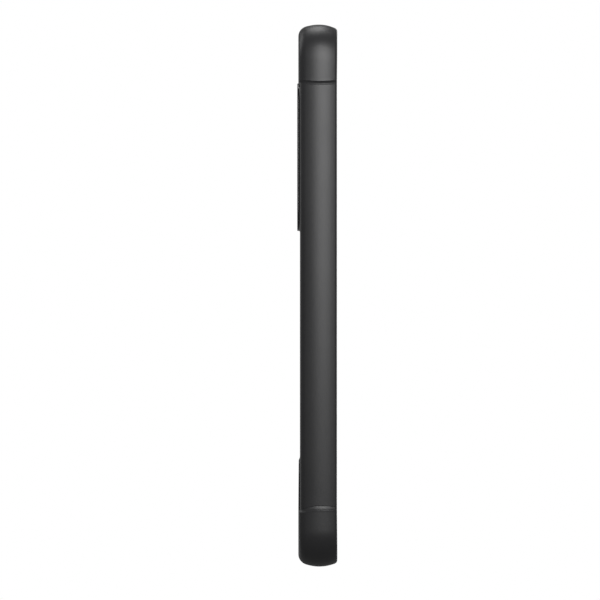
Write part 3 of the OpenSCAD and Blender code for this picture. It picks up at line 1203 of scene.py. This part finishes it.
@dataclass
class HeelPad:
    """Shallow wedge at the lower end of the back."""

    layout: CaseLayout
    low_end: float = 0.1
    slope: float = 1.2
    clear: float = 0.5
    reach_down: float = 0.72
    bed: float = 0.3
    corner: float = 5.0
    foot_corner: float = 0.3
    rim: float = 0.35
    groove: float = 0.16
    groove_pitch: float = 2.2
    groove_from: float = 1.2
    groove_narrow: float = 1.2
    side_fade: tuple[float, float] = (5.5, 6.3)
    upper_fade: tuple[float, float] = (3.6, 4.0)
    lower_fade: tuple[float, float] = (1.9, 2.3)
    grid: float = 0.22
    name: str = "heel_wedge"

    @property
    def base(self) -> float:
        """Depth of the pad's flat side."""
        return float(span("heel_pad")[0][1])

    def corners(self, extra: float = 0.0) -> list:
        """Corners of the pad, or of a larger one: square at the bottom, rounded at the top."""
        low, high = span("heel_pad")
        w, z0, z1 = high[0] + extra, low[2] - self.reach_down - extra, high[2] + extra
        right = [(w, z0, self.foot_corner), (w, z1, self.corner)]
        return right + [(-x, z, r) for x, z, r in right[::-1]]

    def room(self, low: float, high: float, gap: float, steps: int) -> bpy.types.Object:
        """Cutter of the room for the pad with a gap round it, from one depth to another."""
        return prism("heel_room", lambda i: rounded(self.corners(gap), i, steps), low, high, Plane.BACK)

    def build(self) -> bpy.types.Object:
        """Shapes the pad's face: a wedge, a slope at its upper end, eased rims and closed-ended grooves.

        Returns:
            The pad.
        """
        low, high = span("heel_pad")
        skin = self.layout.shell_high[1]
        w, z0, z1 = high[0], low[2] - self.reach_down, high[2]

        def face(x: Array, z: Array) -> Array:
            """Depth of the pad's face."""
            wedge = high[1] - self.low_end * ramp(z, z0, z1 - self.slope)
            crest = z1 - self.clear
            drop = (wedge - skin - self.layout.seam) * ease(z, crest - self.slope, crest)
            side = ramp(np.abs(x), w - self.rim, w)
            rim = self.rim * (1 - np.sqrt(1 - side**2 * 0.999))
            wave = np.cos((z - z0 - self.groove_from) * 2 * math.pi / self.groove_pitch)
            groove = np.clip(wave * (1 + self.groove_narrow) - self.groove_narrow, 0, 1)
            ends = (ramp(w - np.abs(x), *self.side_fade) * ramp(z1 - z, *self.upper_fade)
                    * ramp(z - z0, *self.lower_fade))
            return wedge - drop - rim - self.groove * groove * ends

        piece = topped_plate(self.name, lambda i: rounded(self.corners(), i), self.base, face, self.grid)
        return dress(piece, HEEL, "case", ["heel_pad"])


# ---------------------------------------------------------------- keys


@dataclass
class SideKey:
    """Floating key with a cap, a flange behind the shell and a stem through the sleeve."""

    layout: CaseLayout
    node: str
    flange_over: float = 0.7
    flange_t: float = 0.28
    sink: float = 0.25
    stem_less: tuple[float, float] = (2.0, 0.8)
    round_over: float = 0.34
    dome_r: float = 15.5

    def size(self) -> tuple[float, float, float, float]:
        """Length, height, middle height above the base, and the depth of the middle."""
        low, high = span(self.node)
        _, height, length = high - low - 2 * self.flange_over
        _, y_mid, z_mid = (low + high) / 2
        return length, height, z_mid, y_mid

    def corners(self, more_l: float, more_h: float) -> list:
        """Corners of a bar with round ends, longer and higher than the cap."""
        length, height, z, y = self.size()
        l, h = length + more_l, height + more_h
        tiny = 0.005
        return box_corners(l, h, h / 2 - tiny, z, y)

    def build(self) -> bpy.types.Object:
        """Stacks the stem, the flange and a domed cap, and closes the cap along its middle line.

        Each row is (more length, more height, x). The dome falls with the square of the distance
        from the middle line, over twice its radius.

        Returns:
            The key.
        """
        low, high = span(self.node)
        flange_out = self.layout.sleeve_high[0] - self.sink
        _, height, _, y_mid = self.size()
        over = 2 * self.flange_over
        stem = (-self.stem_less[0], -self.stem_less[1])
        r = self.round_over
        turn = np.linspace(0, math.pi / 2, 7)
        flange_in = flange_out - self.flange_t
        rows = [(*stem, low[0]), (*stem, flange_in), (over, over, flange_in), (over, over, flange_out),
                (0.0, 0.0, flange_out), (0.0, 0.0, high[0] - r)]
        drawn_in = -2 * r * (1 - np.cos(turn[1:]))
        rows += list(zip(drawn_in, drawn_in, high[0] - r + r * np.sin(turn[1:])))
        closing = -np.linspace(2 * r, height - 0.03, 6)[1:]
        rows += [(less, less, high[0]) for less in closing]
        loops = []
        for more_l, more_h, x in rows:
            flat = rounded(self.corners(more_l, more_h), 0.0, 9)
            dome = (flat[:, 1] - y_mid) ** 2 / (2 * self.dome_r) if x > flange_out else 0.0
            loops.append(Plane.SIDE.place(flat[:, 0], flat[:, 1], x - dome))
        solid = Solid().grid(np.stack(loops, 1), wrap=True)
        piece = solid.cap(loops[0]).cap(loops[-1][::-1]).build(self.node.replace("_key", "_cap"))
        return dress(piece, CAP, self.node, [self.node])

    def shell_window(self, gap: float = 0.12) -> bpy.types.Object:
        """Cutter of the key's window in the shell."""
        section = self.layout.shell()
        return flared("window", lambda i: rounded(self.corners(2 * gap, 2 * gap), i),
                      lambda y: self.layout.corner_x + section.crown(y), -1.0, 0.1, 3.0, Plane.SIDE)

    def sleeve_windows(self, gap: float = 0.12, bed: float = 0.3, web: float = 0.3) -> list:
        """Cutters of the flange's bed and of the stem's hole in the sleeve."""
        lay = self.layout
        floor = lay.corner_x + lay.pocket().reach + web
        wide = 2 * (self.flange_over + bed)
        less_l, less_h = self.stem_less
        hole = self.corners(2 * gap - less_l, 2 * gap - less_h)
        return [prism("bed", lambda i: rounded(self.corners(wide, wide), i), floor, floor + 4, Plane.SIDE),
                prism("hole", lambda i: rounded(hole, i), floor - 4, floor + 2, Plane.SIDE)]


# ---------------------------------------------------------------- openings in the ends


@dataclass
class Ports:
    """Openings in the ends of the case."""

    layout: CaseLayout
    port: tuple[float, float] = (13.0, 6.4)
    speaker: tuple[float, float, float] = (15.0, 3.2, 20.5)
    mic_r: float = 1.2
    mic_x: float = 13.5
    depth: float = 7.0

    def outlines(self, top: bool) -> list:
        """Corners of the openings at one end, each with its flare."""
        mid, d = self.layout.mid, 2 * self.mic_r
        tiny = 0.002
        if top:
            return [(box_corners(d, d, self.mic_r - tiny, self.mic_x, mid), 0.2)]
        w, h = self.port
        sw, sh, sx = self.speaker
        return [(box_corners(w, h, h / 2 - tiny, 0.0, mid), 0.4),
                (box_corners(sw, sh, sh / 2 - tiny, sx, mid), 0.3),
                (box_corners(d, d, self.mic_r - tiny, -self.mic_x, mid), 0.2)]

    def cutters(self, top: bool, tucked: Callable[[Array], Array], flare_share: float = 1.0) -> list:
        """Cutters of one end's openings.

        Args:
            top: True for the top end.
            tucked: How much further in the end's skin lies at a depth y.
            flare_share: Share of each mouth's rounding.

        Returns:
            The cutters.
        """
        lay = self.layout
        skin = lay.bumper()
        sign = -1.0 if top else 1.0
        base = lay.length if top else 0.0

        def surface(y: Array) -> Array:
            """Height of the end's crown."""
            return base + sign * (lay.corner_r - skin.crown(y) + tucked(y))

        return [flared("port", lambda i, c=corners: rounded(c, i), surface, sign, flare * flare_share,
                       self.depth, Plane.END)
                for corners, flare in self.outlines(top)]


# ---------------------------------------------------------------- studio


@dataclass(frozen=True)
class Softbox:
    """Rectangular light: its place, the point that it faces and its size in metres, its power in watts."""

    name: str
    at: tuple[float, float, float]
    power: float
    size: tuple[float, float] = (0.6, 0.6)
    to: tuple[float, float, float] = (0.0, 0.0, 0.09)

    def build(self) -> None:
        """Adds the light, which the camera doesn't see."""
        data = bpy.data.lights.new(self.name, "AREA")
        data.shape = "RECTANGLE"
        data.size, data.size_y = self.size
        data.energy = self.power
        light = bpy.data.objects.new(self.name, data)
        light.location = self.at
        light.rotation_euler = (Vector(self.to) - Vector(self.at)).to_track_quat("-Z", "Y").to_euler()
        light.visible_camera = False
        bpy.context.scene.collection.objects.link(light)


KEY = Softbox("key", (-0.386, -0.069, 0.33), 2.07, (0.229, 0.506), to=(0.0, -0.069, 0.33))
OVER = Softbox("over", (0.191, 0.009, 0.531), 0.43, (0.283, 0.138), to=(0.191, 0.009, 0.0))
BEHIND = Softbox("behind", (0.72, 0.72, -0.06), 0.42)
BEHIND_HIGH = Softbox("behind_high", (0.42, 0.9, 0.72), 1.9, (0.7, 0.7))
RIGHT = Softbox("right", (0.82, -0.28, 0.14), 1.2, (0.5, 0.5))
FRONT = Softbox("front", (0.8, -0.62, 0.2), 0.9)


@dataclass
class Studio:
    """Camera, lights, floor and surroundings."""

    lights: tuple[Softbox, ...] = (KEY, OVER, BEHIND, BEHIND_HIGH, RIGHT, FRONT)
    distance: float = 2.2
    field: float = 0.1871
    near_side: float = 0.0291
    aim_y: float = 0.00538
    aim_z: float = 0.08312
    ambient: float = 0.19
    sensor: float = 36.0
    floor_half: float = 6.0

    def camera(self) -> None:
        """Long lens, level with the case, that looks at its left side along +X."""
        data = bpy.data.cameras.new("camera")
        data.sensor_width = self.sensor
        data.lens = self.sensor * (self.distance - self.near_side) / self.field
        data.clip_start, data.clip_end = 0.05, 50.0
        camera = bpy.data.objects.new("camera", data)
        camera.location = (-self.distance, self.aim_y, self.aim_z)
        camera.rotation_euler = (math.pi / 2, 0.0, -math.pi / 2)
        bpy.context.scene.collection.objects.link(camera)
        bpy.context.scene.camera = camera

    def surroundings(self) -> None:
        """White behind the object, and a dim even light on it."""
        world = bpy.data.worlds.new("studio")
        bpy.context.scene.world = world
        world.use_nodes = True
        tree = world.node_tree
        tree.nodes.clear()
        seen = add(tree, "ShaderNodeLightPath", output="Is Camera Ray")
        white = add(tree, "ShaderNodeBackground", {}, {"Color": (1, 1, 1, 1), "Strength": 1.0})
        dim = add(tree, "ShaderNodeBackground", {}, {"Color": (1, 1, 1, 1), "Strength": self.ambient})
        both = add(tree, "ShaderNodeMixShader", {}, {0: seen, 1: dim, 2: white})
        add_output(tree, "ShaderNodeOutputWorld", both)

    def floor(self) -> None:
        """Plain white floor that gives the object no light of its own."""
        half = self.floor_half
        mesh = bpy.data.meshes.new("floor")
        mesh.from_pydata([(-half, -half, 0), (half, -half, 0), (half, half, 0), (-half, half, 0)], [],
                         [(0, 1, 2, 3)])
        floor = bpy.data.objects.new("floor", mesh)
        bpy.context.scene.collection.objects.link(floor)
        made = bpy.data.materials.new("floor_white")
        made.use_nodes = True
        tree = made.node_tree
        tree.nodes.clear()
        glow = add(tree, "ShaderNodeEmission", {}, {"Color": (1, 1, 1, 1), "Strength": 1.0})
        clear = add(tree, "ShaderNodeBsdfTransparent")
        under = add(tree, "ShaderNodeNewGeometry", output="Backfacing")
        both = add(tree, "ShaderNodeMixShader", {}, {0: under, 1: glow, 2: clear})
        add_output(tree, "ShaderNodeOutputMaterial", both)
        mesh.materials.append(made)
        floor.visible_diffuse = False
        floor.visible_glossy = False
        floor.visible_shadow = False

    def build(self) -> None:
        """Sets up the studio: a tall key beside the case, one softbox over its top, and fill elsewhere."""
        self.camera()
        for light in self.lights:
            light.build()
        self.surroundings()
        self.floor()
        bpy.context.scene.view_settings.view_transform = "Standard"


def add_output(tree: bpy.types.NodeTree, kind: str, surface: Node) -> None:
    """Adds the output node of a tree."""
    node = tree.nodes.new(kind)
    tree.links.new(surface.socket, node.inputs["Surface"])


def main() -> None:
    """Builds every piece in order."""
    logging.basicConfig(level=logging.INFO, format="%(message)s")
    Studio().build()
    lay = CaseLayout()
    top_line = Parting(height=19.1, back_r=31.0, front_r=43.0, mid=lay.mid)
    bottom_line = Parting(height=19.15, back_r=14.0, front_r=60.0, mid=lay.mid)
    ports, ring, inlay, heel = Ports(lay), CameraRing(lay), GripInlay(lay), HeelPad(lay)
    keys = [SideKey(lay, node) for node in ("power_key", "volume_up_key", "volume_down_key")]
    skin = lay.shell_high[1]
    above, outside = skin + 2, 9.0

    top = EndBumper(lay, "bumper_top", "top_bumper", top_line, top=True, level_half=13.5,
                    tuck=(0.002, 0.014), steepen=2.8)
    top.build(ports.cutters(True, top.tucked) + [ring.room(heel.base, outside)])
    bottom = EndBumper(lay, "bumper_bottom", "bottom_bumper", bottom_line, top=False, level_half=32.0,
                       tuck=(0.007, 0.007), steepen=2.2)
    bottom.build(ports.cutters(False, bottom.tucked) + [heel.room(heel.base, outside, ring.gap, ring.steps)])

    through = skin - 3
    beds = [ring.room(through, above), inlay.room(skin - inlay.bed, above),
            heel.room(skin - heel.bed, above, gap=0.0, steps=10)]
    HardShell(lay, bottom_line, top_line).build(beds + [key.shell_window() for key in keys])

    eye = prism("eye", lambda i: rounded(ring.opening(0.5, 4.2), i), lay.floor - 2, above, Plane.BACK)
    sharp_mouth = 0.02
    openings = [eye]
    for end in (False, True):
        openings += ports.cutters(end, np.zeros_like, sharp_mouth)
    for key in keys:
        openings += key.sleeve_windows()
    InnerSleeve(lay).build(openings)

    Lining(lay, ring.opening(1.0, 4.7)).build()
    for part in (ring, inlay, heel, *keys):
        part.build()
    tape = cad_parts["inlay_tape"]
    tape.data.materials.clear()
    tape.data.materials.append(FILM.material())


if __name__ == "__main__":
    main()
